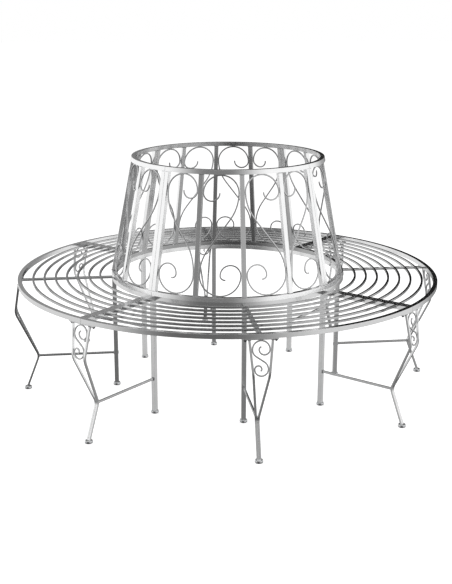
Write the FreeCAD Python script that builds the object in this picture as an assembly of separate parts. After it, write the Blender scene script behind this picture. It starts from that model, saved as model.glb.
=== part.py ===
import FreeCAD, Part
import math
import os

os.makedirs("parts", exist_ok=True)

# Round garden bench for a tree, four bolted quarter panels, in millimetres.
# The trunk axis is Z through the origin, the feet stand on z = 0, and the
# middle of the front panel looks towards -Y.

# Driving sizes of the whole bench
SEAT_DIAMETER = 1600.0
SEAT_HEIGHT = 450.0
OVERALL_HEIGHT = 900.0
BACK_FOOT_DIAMETER = 892.0
BACK_TOP_DIAMETER = 728.0

# Panels and clearances
PANELS = 4
PANEL_ANGLE = 360.0 / PANELS
FIRST_PANEL_ANGLE = -90.0
PANEL_NAMES = ("front", "right", "rear", "left")
PANEL_GAP = 0.6
CLEARANCE = 0.3

# Square tube of the rims, rings, posts, end bars and inner legs
TUBE = 16.0

# Curved seat rods
ROD_COUNT = 7
ROD_WIDTH = 7.5
ROD_HEIGHT = 7.5
ROD_OUTER_SPACE = 38.0
ROD_INNER_SPACE = 41.0
ROD_CHORDS = 12
MID_BAR_HEIGHT = 8.0

# Backrest bays and their S-scrolls, eyes and curls as parts of their loop
BAYS_PER_PANEL = 4
BAY_ANGLE = PANEL_ANGLE / BAYS_PER_PANEL
WIRE = 5.0
BACK_SCROLL_OUTSET = 5.0
BACK_SCROLL_NECK_ANGLE = 36.0
BACK_SCROLL_TOP_EYE = 0.46
BACK_SCROLL_FOOT_EYE = 0.5
BACK_SCROLL_FOOT_CURL = 0.22
BACK_SCROLL_FOOT_CURL_TURN = 100.0
BACK_SCROLL_SAG = 2.0

# Legs, placed from the edge and the height of the seat
LEG_COUNT = 8
LEG_ANGLE = 360.0 / LEG_COUNT
LEG_ROD = 7.5
LEG_TOP_INSET = 4.0
LEG_TOP_SPREAD = 38.0
LEG_BEND_OUTSET = 15.5
LEG_BEND_DROP = 135.0
LEG_BEND_SPREAD = 26.5
LEG_BEND_CURVE = 60.0
LEG_KNEE_INSET = 65.5
LEG_KNEE_HEIGHT = 134.0
LEG_KNEE_CURVE = 34.0
LEG_FOOT_INSET = 18.0
LEG_CURVE_STEPS = 2
STRETCHER = 8.0

# S-scroll between the two rods of an outer leg
LEG_SCROLL_BEND_OVERLAP = 4.0
LEG_SCROLL_NECK_ANGLE = 55.0
LEG_SCROLL_TOP_EYE = 0.62
LEG_SCROLL_TOP_CURL = 0.3
LEG_SCROLL_FOOT_EYE = 0.52
LEG_SCROLL_FOOT_CURL = 0.25
LEG_SCROLL_CURL_TURN = 80.0
LEG_SCROLL_SAG = 1.8

# Plate under the outer rim that carries an outer leg
PLATE_THICKNESS = 4.0
PLATE_HALF_LENGTH = 57.0
PLATE_BOLT_SPREAD = 50.0

# Glide feet
FOOT_DIAMETER = 28.0
FOOT_HEIGHT = 12.0
FOOT_SIDES = 12

# Hexagon bolt heads, measured across the flats
HEXAGON_SIDES = 6
BOLT_FLATS = 10.0
BOLT_HEIGHT = 5.0
STRETCHER_BOLT_HEIGHT = 2.4

# Sizes that follow from the driving ones
SEAT_RADIUS = SEAT_DIAMETER / 2
SEAT_FRAME_BOTTOM = SEAT_HEIGHT - TUBE
RIM_INNER_RADIUS = SEAT_RADIUS - TUBE
BACK_FOOT_RADIUS = BACK_FOOT_DIAMETER / 2
BACK_TOP_RADIUS = BACK_TOP_DIAMETER / 2
POST_BOTTOM = SEAT_HEIGHT + TUBE
POST_TOP = OVERALL_HEIGHT - TUBE
POST_RISE = POST_TOP - POST_BOTTOM
POST_LEAN = BACK_FOOT_RADIUS - BACK_TOP_RADIUS
ROD_BOTTOM = SEAT_HEIGHT - ROD_HEIGHT
OUTER_ROD_RADIUS = RIM_INNER_RADIUS - ROD_OUTER_SPACE
INNER_ROD_RADIUS = BACK_FOOT_RADIUS + ROD_INNER_SPACE + ROD_WIDTH
ROD_PITCH = (OUTER_ROD_RADIUS - INNER_ROD_RADIUS) / (ROD_COUNT - 1)
PLATE_BOTTOM = SEAT_FRAME_BOTTOM - PLATE_THICKNESS
JOINT_SIDE = PANEL_GAP / 2 + TUBE
LEG_TOP_RADIUS = SEAT_RADIUS - LEG_TOP_INSET
LEG_BEND_RADIUS = SEAT_RADIUS + LEG_BEND_OUTSET
LEG_BEND_HEIGHT = SEAT_HEIGHT - LEG_BEND_DROP
LEG_KNEE_RADIUS = SEAT_RADIUS - LEG_KNEE_INSET
LEG_FOOT_RADIUS = SEAT_RADIUS - LEG_FOOT_INSET
LEG_FOOT_SPREAD = (LEG_ROD + CLEARANCE) / 2
UP = FreeCAD.Vector(0, 0, 1)


def polar(radius, angle, z=0.0, across=0.0):
    """Point at a radius and angle, moved sideways along the tangent."""
    turn = math.radians(angle)
    return FreeCAD.Vector(
        radius * math.cos(turn) - across * math.sin(turn),
        radius * math.sin(turn) + across * math.cos(turn),
        z,
    )


def swing(offset, radius):
    """Angle whose chord stands off a radial plane by the offset."""
    return math.degrees(math.asin(offset / radius))


def ends(radius, middle, half_angle, end_offset):
    """Start and end angle of a bent edge that stops short of two planes."""
    reach = half_angle - swing(end_offset, radius)
    return middle - reach, middle + reach


def curved_bar(inner, outer, low, high, middle, half_angle, end_offset=0.0):
    """Bar bent round the axis with its ends parallel to the end planes."""
    start_out, end_out = ends(outer, middle, half_angle, end_offset)
    start_in, end_in = ends(inner, middle, half_angle, end_offset)
    out_start = polar(outer, start_out, low)
    out_end = polar(outer, end_out, low)
    in_start = polar(inner, start_in, low)
    in_end = polar(inner, end_in, low)
    edges = [
        Part.Arc(out_start, polar(outer, middle, low), out_end).toShape(),
        Part.makeLine(out_end, in_end),
        Part.Arc(in_end, polar(inner, middle, low), in_start).toShape(),
        Part.makeLine(in_start, out_start),
    ]
    return Part.Face(Part.Wire(edges)).extrude(UP * (high - low))


def straight_bar(corners, run):
    """Prism on a flat outline of corner points, pushed along a vector."""
    return Part.Face(Part.makePolygon(corners + corners[:1])).extrude(run)


def radial_bar(inner, outer, low, high, angle, side_low, side_high):
    """Straight bar that points at the axis, between two sideways offsets."""
    corners = [
        polar(inner, angle, low, side_low),
        polar(outer, angle, low, side_low),
        polar(outer, angle, low, side_high),
        polar(inner, angle, low, side_high),
    ]
    return straight_bar(corners, UP * (high - low))


def plan_square(radius, angle, z, across, side):
    """Corners of a horizontal square centred on a point of a leg or post."""
    half = side / 2
    return [
        polar(radius - half, angle, z, across - half),
        polar(radius + half, angle, z, across - half),
        polar(radius + half, angle, z, across + half),
        polar(radius - half, angle, z, across + half),
    ]


def panel_angles():
    """Angle of the middle of each quarter panel, in the order of its names."""
    return [FIRST_PANEL_ANGLE + PANEL_ANGLE * index for index in range(PANELS)]


def leg_angles():
    """Angle of each leg frame, panel middles and joints in turn."""
    return [FIRST_PANEL_ANGLE + LEG_ANGLE * index for index in range(LEG_COUNT)]


def panel_ring(outer, low, high):
    """The four bent square tubes of a ring, one in each panel."""
    inner = outer - TUBE
    half = PANEL_ANGLE / 2
    gap = PANEL_GAP / 2
    return [curved_bar(inner, outer, low, high, angle, half, gap) for angle in panel_angles()]


def bent_edge(radius, middle):
    """Points along one edge of a seat rod, from end bar to end bar."""
    start, end = ends(radius, middle, PANEL_ANGLE / 2, JOINT_SIDE)
    step = (end - start) / ROD_CHORDS
    return [polar(radius, start + step * index, ROD_BOTTOM) for index in range(ROD_CHORDS + 1)]


def seat_rods(index):
    """The four bent rods of one circle of the seat, in short chords."""
    outer = OUTER_ROD_RADIUS - ROD_PITCH * index
    rods = []
    for angle in panel_angles():
        outline = bent_edge(outer, angle) + bent_edge(outer - ROD_WIDTH, angle)[::-1]
        rods.append(straight_bar(outline, UP * ROD_HEIGHT))
    return rods


def end_bars(angle):
    """The two radial tubes that close a panel, beside its two joint planes."""
    inner = BACK_FOOT_RADIUS
    outer = math.sqrt(RIM_INNER_RADIUS ** 2 - JOINT_SIDE ** 2)
    low = SEAT_FRAME_BOTTOM
    near = PANEL_GAP / 2
    half = PANEL_ANGLE / 2
    return [
        radial_bar(inner, outer, low, SEAT_HEIGHT, angle - half, near, JOINT_SIDE),
        radial_bar(inner, outer, low, SEAT_HEIGHT, angle + half, -JOINT_SIDE, -near),
    ]


def mid_bar(angle):
    """Flat bar under the rods at the middle of a panel."""
    outer = math.sqrt(RIM_INNER_RADIUS ** 2 - (TUBE / 2) ** 2)
    low = ROD_BOTTOM - MID_BAR_HEIGHT
    return radial_bar(BACK_FOOT_RADIUS, outer, low, ROD_BOTTOM, angle, -TUBE / 2, TUBE / 2)


def leaning_post(angle, across):
    """Square tube from the lower to the upper ring, leaning to the trunk."""
    foot = plan_square(BACK_FOOT_RADIUS - TUBE / 2, angle, POST_BOTTOM, across, TUBE)
    return straight_bar(foot, polar(-POST_LEAN, angle, POST_RISE))


def back_posts(angle):
    """The five posts of a back panel, with an end post at each joint plane."""
    end_across = PANEL_GAP / 2 + TUBE / 2
    posts = [leaning_post(angle - PANEL_ANGLE / 2, end_across)]
    for index in range(1, BAYS_PER_PANEL):
        posts.append(leaning_post(angle - PANEL_ANGLE / 2 + BAY_ANGLE * index, 0.0))
    posts.append(leaning_post(angle + PANEL_ANGLE / 2, -end_across))
    return posts


def arc_chords(radius, turn, sag):
    """Even number of chords that keeps an arc near the sag, corner in its middle."""
    step = 2 * math.degrees(math.acos(1 - sag / radius))
    return 2 * max(1, round(abs(turn) / step / 2))


def wire_bar(start, heading, runs, sag, place):
    """Square wire that follows arcs and straight runs in its own plane.

    A run is a pair: the radius and signed turn of an arc, or a length with
    no turn. The place function puts plane coordinates and a depth in space.
    """
    half = WIRE / 2
    x, y = start
    left = []
    right = []

    def mark():
        side = math.radians(heading + 90.0)
        left.append((x + half * math.cos(side), y + half * math.sin(side)))
        right.append((x - half * math.cos(side), y - half * math.sin(side)))

    mark()
    for size, turn in runs:
        if turn == 0.0:
            x += size * math.cos(math.radians(heading))
            y += size * math.sin(math.radians(heading))
            mark()
            continue
        chords = arc_chords(size, turn, sag)
        step = turn / chords
        chord = 2 * size * math.sin(math.radians(abs(step) / 2))
        for _ in range(chords):
            x += chord * math.cos(math.radians(heading + step / 2))
            y += chord * math.sin(math.radians(heading + step / 2))
            heading += step
            mark()
    outline = [place(px, py, -half) for px, py in left + right[::-1]]
    depth = place(0.0, 0.0, half) - place(0.0, 0.0, -half)
    return Part.Face(Part.makePolygon(outline + outline[:1])).extrude(depth)


def scroll_neck(shift, rise, angle):
    """Radius and straight length of an S that joins two opposite loops."""
    sine = math.sin(math.radians(angle))
    cosine = math.cos(math.radians(angle))
    double = (rise * sine - shift * cosine) / (1 - cosine)
    return double / 2, (shift - double * (1 - cosine)) / sine


def s_scroll(height, neck_angle, top, foot, sag, place):
    """S-scroll of a given height between the centre lines of its two loops.

    Top and foot are each a loop radius, an eye and a curl as parts of the
    loop, and the turn of the curl, which is nought where there is none.
    """
    top_loop, top_eye, top_curl, top_turn = top
    foot_loop, foot_eye, foot_curl, foot_turn = foot
    eye = top_loop * top_eye
    curl = top_loop * top_curl
    neck_radius, neck_length = scroll_neck(top_loop + foot_loop, height - top_loop - foot_loop, neck_angle)
    heading = -90.0 - top_turn
    turn = math.radians(heading)
    start_x = top_loop - 2 * eye + curl + curl * math.sin(turn)
    start_y = height - top_loop - curl * math.cos(turn)
    runs = [
        (curl, top_turn),
        (eye, 180.0),
        (top_loop, 180.0),
        (neck_radius, neck_angle),
        (neck_length, 0.0),
        (neck_radius, -neck_angle),
        (foot_loop, -180.0),
        (foot_loop * foot_eye, -180.0),
        (foot_loop * foot_curl, -foot_turn),
    ]
    if top_turn == 0.0:
        runs = runs[1:]
    return wire_bar((start_x, start_y), heading, runs, sag, place)


def back_scroll(bay):
    """S-scroll that fills a bay of the back between two posts and both rings."""
    angle = FIRST_PANEL_ANGLE - PANEL_ANGLE / 2 + BAY_ANGLE * (bay + 0.5)
    hand = 1.0 if bay % 2 == 0 else -1.0
    half_bay = math.radians(BAY_ANGLE / 2)
    lean = POST_LEAN * math.cos(half_bay) / POST_RISE
    slant = math.hypot(1.0, lean)
    radius = (BACK_FOOT_RADIUS - TUBE / 2) * math.cos(half_bay) + BACK_SCROLL_OUTSET
    narrowing = lean * math.tan(half_bay) / slant
    room = WIRE / 2 * (1 + lean) + CLEARANCE
    side_room = WIRE / 2 * (1 + math.tan(half_bay)) + CLEARANCE

    def half_width(post_side):
        return radius * math.tan(half_bay) - post_side / math.cos(half_bay) - side_room

    place_in_panel = bay % BAYS_PER_PANEL
    left = half_width(JOINT_SIDE if place_in_panel == 0 else TUBE / 2)
    right = half_width(JOINT_SIDE if place_in_panel == BAYS_PER_PANEL - 1 else TUBE / 2)
    middle = (right - left) / 2
    width = (left + right) / 2
    height = POST_RISE * slant
    foot_loop = (width - narrowing * room) / (1 + narrowing)
    top_loop = (width - narrowing * (height - room)) / (1 - narrowing)
    top = (top_loop, BACK_SCROLL_TOP_EYE, 0.0, 0.0)
    foot = (foot_loop, BACK_SCROLL_FOOT_EYE, BACK_SCROLL_FOOT_CURL, BACK_SCROLL_FOOT_CURL_TURN)

    def place(x, y, depth):
        along = y + room
        out = radius - along * lean / slant + depth / slant
        up = along / slant + depth * lean / slant
        return polar(out, angle, POST_BOTTOM + up, middle + hand * x)

    return s_scroll(height - 2 * room, BACK_SCROLL_NECK_ANGLE, top, foot, BACK_SCROLL_SAG, place)


def back_scrolls(panel):
    """The scrolls of one back panel, mirrored from bay to bay."""
    first_bay = panel * BAYS_PER_PANEL
    return [back_scroll(first_bay + index) for index in range(BAYS_PER_PANEL)]


def inner_leg(angle):
    """Upright square tube under the inner rim."""
    foot = plan_square(BACK_FOOT_RADIUS - TUBE / 2, angle, FOOT_HEIGHT, 0.0, TUBE)
    return straight_bar(foot, UP * (SEAT_FRAME_BOTTOM - FOOT_HEIGHT))


def bend(before, corner, after, radius):
    """Points of an arc that rounds the corner between two straight runs."""
    back = (before - corner).normalize()
    ahead = (after - corner).normalize()
    opening = back.getAngle(ahead)
    run = radius / math.tan(opening / 2)
    centre = corner + (back + ahead).normalize() * (radius / math.sin(opening / 2))
    start = corner + back * run - centre
    end = corner + ahead * run - centre
    sweep = math.pi - opening
    points = []
    for index in range(LEG_CURVE_STEPS + 1):
        part = index / LEG_CURVE_STEPS
        weight_start = math.sin((1 - part) * sweep) / math.sin(sweep)
        weight_end = math.sin(part * sweep) / math.sin(sweep)
        points.append(centre + start * weight_start + end * weight_end)
    return points


def leg_path(side):
    """Centre points of an outer leg rod, out to the bend, in to the knee."""
    top = FreeCAD.Vector(LEG_TOP_RADIUS, side * LEG_TOP_SPREAD, PLATE_BOTTOM)
    elbow = FreeCAD.Vector(LEG_BEND_RADIUS, side * LEG_BEND_SPREAD, LEG_BEND_HEIGHT)
    knee = FreeCAD.Vector(LEG_KNEE_RADIUS, side * LEG_FOOT_SPREAD, LEG_KNEE_HEIGHT)
    foot_top = FreeCAD.Vector(LEG_FOOT_RADIUS, side * LEG_FOOT_SPREAD, FOOT_HEIGHT)
    upper_bend = bend(top, elbow, knee, LEG_BEND_CURVE)
    knee_bend = bend(elbow, knee, foot_top, LEG_KNEE_CURVE)
    return [top] + upper_bend + knee_bend + [foot_top]


def leg_rod(angle, side):
    """Outer leg rod with a level square section at each point of its path."""
    sections = []
    for point in leg_path(side):
        corners = plan_square(point.x, angle, point.z, point.y, LEG_ROD)
        sections.append(Part.makePolygon(corners + corners[:1]))
    return Part.makeLoft(sections, True, True)


def outer_leg(angle):
    """The two rods of an outer leg, apart at the rim and together below."""
    return [leg_rod(angle, side) for side in (-1.0, 1.0)]


def leg_scroll(angle):
    """S-scroll between the two rods of an outer leg, under its plate."""
    drop = PLATE_BOTTOM - LEG_BEND_HEIGHT
    lean = (LEG_BEND_RADIUS - LEG_TOP_RADIUS) / drop
    slant = math.hypot(1.0, lean)
    narrowing = (LEG_TOP_SPREAD - LEG_BEND_SPREAD) / drop / slant
    room = WIRE / 2 * (1 + lean) + CLEARANCE
    low = -LEG_SCROLL_BEND_OVERLAP * slant
    high = drop * slant
    half_width = LEG_BEND_SPREAD - LEG_ROD / 2 - WIRE / 2 - CLEARANCE
    foot_loop = (half_width + narrowing * (low + room)) / (1 - narrowing)
    top_loop = (half_width + narrowing * (high - room)) / (1 + narrowing)
    top = (top_loop, LEG_SCROLL_TOP_EYE, LEG_SCROLL_TOP_CURL, LEG_SCROLL_CURL_TURN)
    foot_end = (foot_loop, LEG_SCROLL_FOOT_EYE, LEG_SCROLL_FOOT_CURL, LEG_SCROLL_CURL_TURN)

    def place(x, y, depth):
        along = low + room + y
        out = LEG_BEND_RADIUS - along * lean / slant + depth / slant
        up = along / slant + depth * lean / slant
        return polar(out, angle, LEG_BEND_HEIGHT + up, x)

    height = high - low - 2 * room
    return s_scroll(height, LEG_SCROLL_NECK_ANGLE, top, foot_end, LEG_SCROLL_SAG, place)


def leg_plate(angle):
    """Curved plate under the outer rim that the leg rods are welded to."""
    half_angle = swing(PLATE_HALF_LENGTH, SEAT_RADIUS)
    return curved_bar(RIM_INNER_RADIUS, SEAT_RADIUS, PLATE_BOTTOM, SEAT_FRAME_BOTTOM, angle, half_angle)


def stretcher(angle):
    """Level bar from the knee of an outer leg to its inner leg."""
    outer = min(point.x for point in leg_path(1.0)) - LEG_ROD / 2
    half = STRETCHER / 2
    low = LEG_KNEE_HEIGHT - half
    return radial_bar(BACK_FOOT_RADIUS, outer, low, low + STRETCHER, angle, -half, half)


def regular_prism(sides, corner_radius, height):
    """Upright prism on a regular outline, standing on the origin."""
    points = [polar(corner_radius, 360.0 / sides * index) for index in range(sides)]
    return straight_bar(points, UP * height)


def foot(radius, angle):
    """Glide foot under a leg, a low many-sided disc."""
    disc = regular_prism(FOOT_SIDES, FOOT_DIAMETER / 2, FOOT_HEIGHT)
    disc.translate(polar(radius, angle))
    return disc


def hex_head(centre, direction, height):
    """Hexagon bolt head that stands on a face, pointing away from it."""
    head = regular_prism(HEXAGON_SIDES, BOLT_FLATS / math.sqrt(3), height)
    head.Placement = FreeCAD.Placement(centre, FreeCAD.Rotation(UP, direction))
    return head


def plate_bolts(angle):
    """Bolt heads under both ends of a leg plate."""
    middle_radius = SEAT_RADIUS - TUBE / 2
    reach = swing(PLATE_BOLT_SPREAD, middle_radius)
    places = [polar(middle_radius, angle + side * reach, PLATE_BOTTOM) for side in (-1.0, 1.0)]
    return [hex_head(place, -UP, BOLT_HEIGHT) for place in places]


def stretcher_bolt(angle):
    """Low bolt head on the trunk side of an inner leg, opposite the stretcher."""
    face_radius = BACK_FOOT_RADIUS - TUBE
    place = polar(face_radius, angle, LEG_KNEE_HEIGHT)
    return hex_head(place, -polar(1.0, angle), STRETCHER_BOLT_HEIGHT)


def export(name, solids):
    """Write one named node as a STEP file."""
    shape = solids[0] if len(solids) == 1 else Part.makeCompound(solids)
    shape.exportStep("parts/" + name + ".step")


export("seat_outer_rim", panel_ring(SEAT_RADIUS, SEAT_FRAME_BOTTOM, SEAT_HEIGHT))
export("seat_inner_rim", panel_ring(BACK_FOOT_RADIUS, SEAT_FRAME_BOTTOM, SEAT_HEIGHT))
for ring_index in range(ROD_COUNT):
    export("seat_rod_ring_" + str(ring_index + 1), seat_rods(ring_index))
export("seat_mid_bars", [mid_bar(angle) for angle in panel_angles()])
for panel_index, panel_angle in enumerate(panel_angles()):
    panel_name = PANEL_NAMES[panel_index]
    export("seat_end_bars_" + panel_name, end_bars(panel_angle))
    export("back_posts_" + panel_name, back_posts(panel_angle))
    export("back_scrolls_" + panel_name, back_scrolls(panel_index))

export("back_lower_ring", panel_ring(BACK_FOOT_RADIUS, SEAT_HEIGHT, POST_BOTTOM))
export("back_upper_ring", panel_ring(BACK_TOP_RADIUS, POST_TOP, OVERALL_HEIGHT))

for leg_index, leg_angle in enumerate(leg_angles()):
    export("outer_leg_" + str(leg_index + 1), outer_leg(leg_angle))
    export("inner_leg_" + str(leg_index + 1), [inner_leg(leg_angle)])
export("leg_scrolls", [leg_scroll(angle) for angle in leg_angles()])
export("leg_plates", [leg_plate(angle) for angle in leg_angles()])
export("stretchers", [stretcher(angle) for angle in leg_angles()])
export("outer_feet", [foot(LEG_FOOT_RADIUS, angle) for angle in leg_angles()])
export("inner_feet", [foot(BACK_FOOT_RADIUS - TUBE / 2, angle) for angle in leg_angles()])
export("plate_bolts", [bolt for angle in leg_angles() for bolt in plate_bolts(angle)])
export("stretcher_bolts", [stretcher_bolt(angle) for angle in leg_angles()])
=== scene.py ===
import logging
import math
from dataclasses import asdict, dataclass, fields
from enum import Enum
from typing import Callable, Mapping, Sequence

import bmesh
import bpy
from mathutils import Matrix, Vector


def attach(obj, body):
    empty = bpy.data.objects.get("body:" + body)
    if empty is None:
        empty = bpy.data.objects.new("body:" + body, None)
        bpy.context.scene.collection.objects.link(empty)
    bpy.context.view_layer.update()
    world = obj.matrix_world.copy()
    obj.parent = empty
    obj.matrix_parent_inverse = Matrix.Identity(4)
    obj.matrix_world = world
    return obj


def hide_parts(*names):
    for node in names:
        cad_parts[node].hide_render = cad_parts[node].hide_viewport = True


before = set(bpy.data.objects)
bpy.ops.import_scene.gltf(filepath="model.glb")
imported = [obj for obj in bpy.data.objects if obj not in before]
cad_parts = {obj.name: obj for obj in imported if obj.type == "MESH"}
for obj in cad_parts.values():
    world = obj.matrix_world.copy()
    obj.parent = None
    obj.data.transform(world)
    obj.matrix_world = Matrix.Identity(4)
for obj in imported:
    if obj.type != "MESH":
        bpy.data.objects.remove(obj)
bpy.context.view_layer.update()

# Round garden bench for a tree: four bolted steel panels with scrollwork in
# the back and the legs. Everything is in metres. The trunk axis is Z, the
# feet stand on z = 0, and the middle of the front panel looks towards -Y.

log = logging.getLogger("tree_bench")

Point2 = tuple[float, float]
Triple = tuple[float, float, float]
Band = tuple[float, float, float, float]
BMesh = bmesh.types.BMesh
Mesh = bpy.types.Mesh
Socket = bpy.types.NodeSocket
Tree = bpy.types.NodeTree
Material = bpy.types.Material
Build = Callable[[BMesh], None]

BODY = "root"
PANEL_NAMES = ("front", "right", "rear", "left")
FIRST_ANGLE = -90.0
SIDES = (-1.0, 1.0)
OUT = Vector((1.0, 0.0, 0.0))
LEVEL = Vector((0.0, 1.0, 0.0))
UP = Vector((0.0, 0.0, 1.0))

SHARP_ANGLE = math.radians(50.0)
MERGE_DISTANCE = 1e-6
HEXAGON = 6

# Segments in a rounded corner of a bar and of a wire.
CORNER_STEPS = 3
WIRE_CORNER_STEPS = 2

# Degrees of turn from one point of a wire's arc to the next, and the fewest
# steps in an arc.
ARC_STEP = 6.0
LEAST_ARC_STEPS = 4

# Segments across a fillet weld and in its corners, and how often the radius
# of its inner corner goes into the width of its bar.
COLLAR_STEPS = 3
COLLAR_CORNER_STEPS = 2
BAR_TO_COLLAR_CORNER = 5

# Ranges of the finishes: the bloom that counts from dull to bright, the
# cosines at which a corner starts and ends its wear, and where wear breaks up.
BLOOM_RANGE = (0.3, 0.7)
CORNER_RANGE = (0.995, 0.93)
BREAKUP_RANGE = (0.42, 0.62)
BEVEL_SAMPLES = 4


class Slot(Enum):
    """Names of the record's material slots, which each piece carries with it."""

    TUBE = "tube_steel"
    ROD = "rod_steel"
    WIRE = "scroll_wire"
    GLIDE = "foot_glides"
    BOLT = "bolts"


def polar(radius: float, angle: float, z: float = 0.0, across: float = 0.0) -> Vector:
    """Point at a radius and angle, moved sideways along the tangent.

    Args:
        radius: Distance from the trunk axis.
        angle: Angle round the axis, in degrees.
        z: Height above the floor.
        across: Sideways move along the tangent.

    Returns:
        The point in the bench's frame.
    """
    cosine, sine = math.cos(math.radians(angle)), math.sin(math.radians(angle))
    return Vector((radius * cosine - across * sine, radius * sine + across * cosine, z))


def axes(origin: Vector, across: Vector, along: Vector) -> Matrix:
    """Frame with a given X and Z direction.

    Args:
        origin: Origin of the frame.
        across: Direction of its X axis.
        along: Direction of its Z axis.

    Returns:
        The matrix that puts the frame's coordinates in space.
    """
    z_axis = along.normalized()
    x_axis = (across - z_axis * across.dot(z_axis)).normalized()
    turn = Matrix((x_axis, z_axis.cross(x_axis), z_axis)).transposed()
    return Matrix.Translation(origin) @ turn.to_4x4()


def rounded_rectangle(width: float, depth: float, corner: float, steps: int = CORNER_STEPS) -> list[Point2]:
    """Points round a rectangle with quarter-round corners.

    Args:
        width: Size along the first axis.
        depth: Size along the second axis.
        corner: Radius of the corners.
        steps: Segments in each corner.

    Returns:
        The outline, anticlockwise.
    """
    points: list[Point2] = []
    for quarter, (side_x, side_y) in enumerate(((1, 1), (-1, 1), (-1, -1), (1, -1))):
        for step in range(steps + 1):
            turn = math.pi / 2 * (quarter + step / steps)
            points.append((side_x * (width / 2 - corner) + corner * math.cos(turn),
                           side_y * (depth / 2 - corner) + corner * math.sin(turn)))
    return points


def join_rings(mesh: BMesh, rings: Sequence[Sequence[bmesh.types.BMVert]]) -> None:
    """Adds the quads between each ring of vertices and the next.

    Args:
        mesh: Mesh that gets the quads.
        rings: Rings with the same number of vertices, in order.
    """
    count = len(rings[0])
    for ring, following in zip(rings, rings[1:]):
        for index in range(count):
            after = (index + 1) % count
            mesh.faces.new((ring[index], ring[after], following[after], following[index]))


def loft(mesh: BMesh, sections: Sequence[Sequence[Vector]]) -> None:
    """Adds a closed bar that runs through its sections.

    Args:
        mesh: Mesh that gets the bar.
        sections: Outlines with the same number of points, in order.
    """
    rings = [[mesh.verts.new(point) for point in section] for section in sections]
    join_rings(mesh, rings)
    mesh.faces.new(rings[0][::-1])
    mesh.faces.new(rings[-1])


def turned(mesh: BMesh, profile: Sequence[Point2], sides: int, place: Matrix) -> None:
    """Adds a turned body from its half profile.

    Args:
        mesh: Mesh that gets the body.
        profile: Pairs of radius and height, from one end to the other.
        sides: Faces round the axis.
        place: Where the body stands, with its axis along its own Z.
    """
    turns = [2 * math.pi * index / sides for index in range(sides)]
    loft(mesh, [[place @ Vector((radius * math.cos(turn), radius * math.sin(turn), height)) for turn in turns]
                for radius, height in profile])


def weld_collar(mesh: BMesh, width: float, height: float, bead: float, place: Matrix) -> None:
    """Adds a fillet weld round the end of a bar.

    Args:
        mesh: Mesh that gets the weld.
        width: Width of the bar.
        height: Depth of the bar.
        bead: Leg length of the weld.
        place: Middle of the bar's end, with the bar along its own Z.
    """
    corner = min(width, height) / BAR_TO_COLLAR_CORNER
    turns = [math.pi / 2 * step / COLLAR_STEPS for step in range(COLLAR_STEPS + 1)]
    rings = []
    for out, along in [(0.0, 0.0)] + [(bead * math.cos(turn), bead * math.sin(turn)) for turn in turns]:
        outline = rounded_rectangle(width + 2 * out, height + 2 * out, corner + out, COLLAR_CORNER_STEPS)
        rings.append([mesh.verts.new(place @ Vector((x, y, along))) for x, y in outline])
    join_rings(mesh, rings + rings[:1])


def place_object(name: str, data: bpy.types.ID) -> bpy.types.Object:
    """Puts data in the scene as an object.

    Args:
        name: Name of the object.
        data: Its mesh, curve, camera or light.

    Returns:
        The new object.
    """
    thing = bpy.data.objects.new(name, data)
    bpy.context.scene.collection.objects.link(thing)
    return thing


def evaluated_mesh(thing: bpy.types.Object) -> Mesh:
    """Mesh of an object as its modifiers make it.

    Args:
        thing: The object.

    Returns:
        A new plain mesh.
    """
    bpy.context.view_layer.update()
    graph = bpy.context.evaluated_depsgraph_get()
    return bpy.data.meshes.new_from_object(thing.evaluated_get(graph))


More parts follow.
